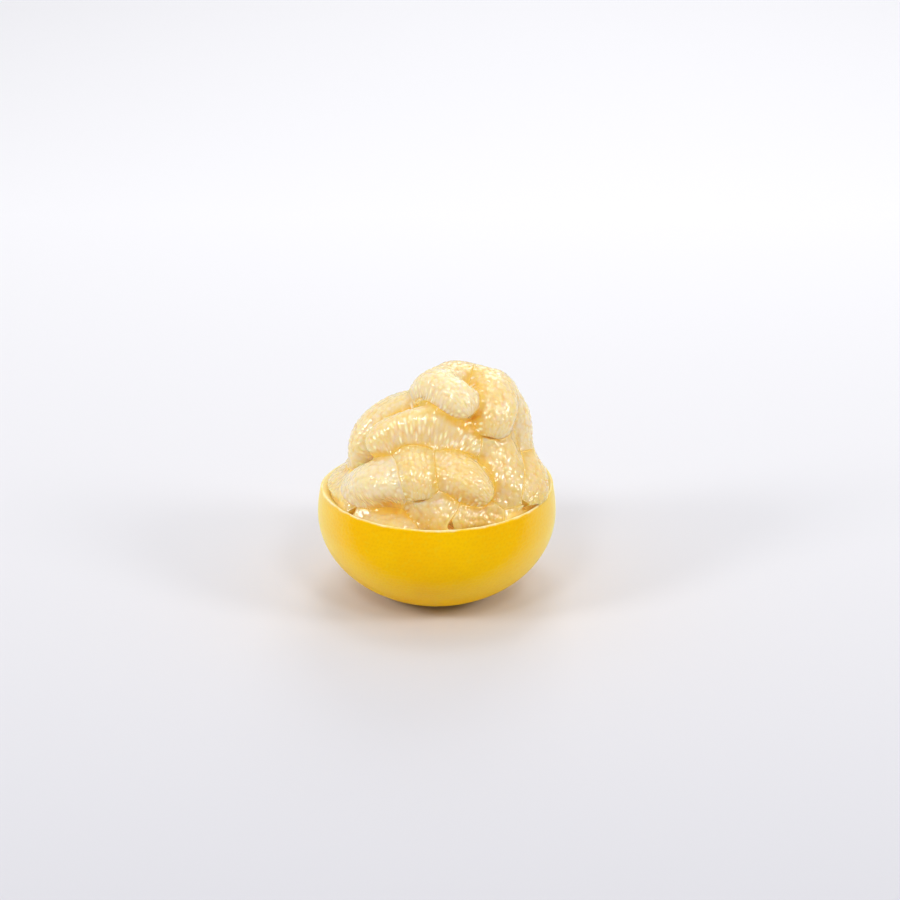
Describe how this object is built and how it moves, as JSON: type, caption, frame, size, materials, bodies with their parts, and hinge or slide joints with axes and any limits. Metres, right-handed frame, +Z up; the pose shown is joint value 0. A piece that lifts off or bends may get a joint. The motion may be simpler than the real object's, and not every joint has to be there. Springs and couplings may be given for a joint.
{
  "type": "pomelo half filled with peeled segments",
  "caption": "Lower part of a small pomelo's rind, cut level and hollowed out, heaped with the fruit's peeled, curved segments. It rests on a small flat spot.",
  "frame": {"origin": "middle of the small flat spot under the rind, on the surface that it rests on", "axes": "+Z up through the middle of the rind, +Y away from the side that the picture shows, +X to its right"},
  "size_m": [0.11, 0.11, 0.1098],
  "materials": {
    "rind": "satin yellow skin outside, dull cream pith on the cut edge and inside",
    "flesh": "moist pale yellow juice sacs, slightly see-through"
  },
  "bodies": {
    "root": {"rind": "rind", "segment_top_left": "flesh", "segment_top": "flesh", "segment_top_right": "flesh", "segment_right_high": "flesh", "segment_comb": "flesh", "segment_left_high": "flesh", "segment_left_front": "flesh", "segment_middle_front": "flesh", "segment_right_front": "flesh", "segment_right_upright": "flesh", "segment_right_rim": "flesh", "segment_rim_left_front": "flesh", "segment_rim_front": "flesh", "segment_rim_right_front": "flesh", "segment_rim_right": "flesh", "segment_rim_left": "flesh", "segment_left_back": "flesh", "segment_back": "flesh", "segment_right_back": "flesh", "segment_back_left_high": "flesh", "segment_back_right_high": "flesh", "segment_core_low": "flesh", "segment_core_high": "flesh", "segment_floor_left": "flesh", "segment_floor_front": "flesh", "segment_floor_right": "flesh", "segment_floor_back": "flesh", "segment_floor_middle": "flesh"}
  },
  "joints": []
}
